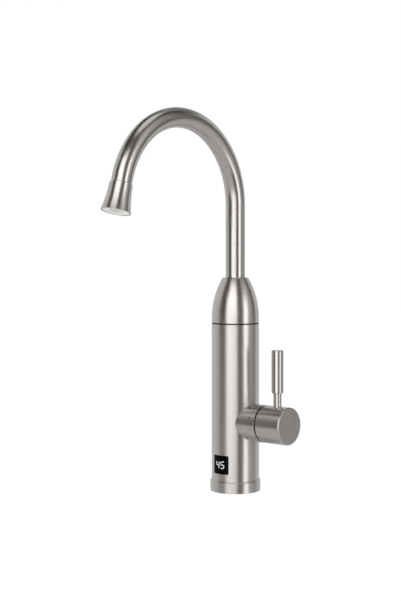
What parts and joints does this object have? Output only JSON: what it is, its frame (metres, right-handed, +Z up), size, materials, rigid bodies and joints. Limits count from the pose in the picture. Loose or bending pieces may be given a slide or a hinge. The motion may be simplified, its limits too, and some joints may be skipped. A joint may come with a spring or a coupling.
{
  "type": "electric instant water heater tap",
  "caption": "Deck-mounted electric instant water heater tap: a steel body tube with a display and a side lever valve, and a swivelling gooseneck spout with a bell nozzle.",
  "frame": {"origin": "centre of the underside, in the mouth of the water inlet, on the worktop's plane", "axes": "+Z up, -Y towards the user (the spout and the display point that way), +X along the valve's axis"},
  "size_m": [0.0981, 0.2197, 0.3968],
  "materials": {
    "ring_steel": "brushed round the axis",
    "shell_steel": "brushed round the axis",
    "dome_steel": "brushed round the axis",
    "spout_steel": "satin",
    "nozzle_steel": "satin",
    "stub_steel": "brushed round the valve's axis",
    "cap_steel": "brushed round the valve's axis",
    "lever_steel": "satin",
    "inner_steel": "plain",
    "coil_steel": "drawn tube",
    "brass": "machined",
    "aluminium": "extruded",
    "black_plastic": "moulded",
    "pale_plastic": "moulded",
    "aerator_plastic": "moulded",
    "red_plastic": "moulded",
    "lead_insulation": "silicone sleeve",
    "board_green": "coated laminate",
    "ceramic": "lapped",
    "black_rubber": "moulded",
    "window_black": "glossy"
  },
  "bodies": {
    "body": {"base_ring": "ring_steel", "deck_seal": "black_rubber", "base_plate": "black_plastic", "base_screws": "inner_steel", "inlet_socket": "brass", "inlet_strainer": "pale_plastic", "cord_gland": "black_rubber", "terminal_block": "pale_plastic", "body_shell": "shell_steel", "display_window": "window_black", "display_module": "black_plastic", "control_board": "board_green", "triac": "black_plastic", "cooling_block": "aluminium", "inlet_pipe": "brass", "valve_stub": "stub_steel", "valve_manifold": "brass", "cartridge_seal": "black_rubber", "fixed_disc": "ceramic", "cartridge_housing": "pale_plastic", "cartridge_nut": "brass", "guide_ring": "black_plastic", "micro_switch": "black_plastic", "switch_screws": "inner_steel", "feed_nipple": "brass", "heater_vessel": "pale_plastic", "heating_coil": "coil_steel", "vessel_seal": "black_rubber", "vessel_lid": "pale_plastic", "element_terminals": "ceramic", "element_leads": "lead_insulation", "thermal_cutout": "black_plastic", "temperature_sensor": "brass", "outlet_nipple": "brass", "dome_collar": "brass", "seal_ring": "black_rubber", "dome": "dome_steel", "spout_socket": "brass", "spout_bush": "pale_plastic"},
    "lever": {"moving_disc": "ceramic", "cartridge_stem": "brass", "stem_oring": "black_rubber", "switch_cam": "pale_plastic", "lever_cap": "cap_steel", "lever_stem": "lever_steel", "lever_handle": "lever_steel"},
    "plunger": {"switch_plunger": "red_plastic"},
    "spout": {"spout_tube": "spout_steel", "spout_spigot": "brass", "spout_orings": "black_rubber", "thrust_washer": "pale_plastic", "nozzle_bell": "nozzle_steel", "aerator_seal": "black_rubber", "aerator_housing": "aerator_plastic", "aerator_screen": "inner_steel", "aerator_core": "aerator_plastic"}
  },
  "joints": [
    {"name": "spout_swivel", "type": "hinge", "parent": "body", "child": "spout", "pos_m": [0, 0, 0.2], "axis": [0, 0, 1], "continuous": true},
    {"name": "lever_turn", "type": "hinge", "parent": "body", "child": "lever", "pos_m": [0.0561, 0, 0.0729], "axis": [1, 0, 0], "range_deg": [-90, 90]},
    {"name": "plunger_slide", "type": "slide", "parent": "body", "child": "plunger", "axis": [0, 0, 1], "range_m": [-0.00061, 0.00061]}
  ],
  "couplings": [
    {"joint": "plunger_slide", "follows": "lever_turn", "m_per_rad": 0.00038197}
  ]
}
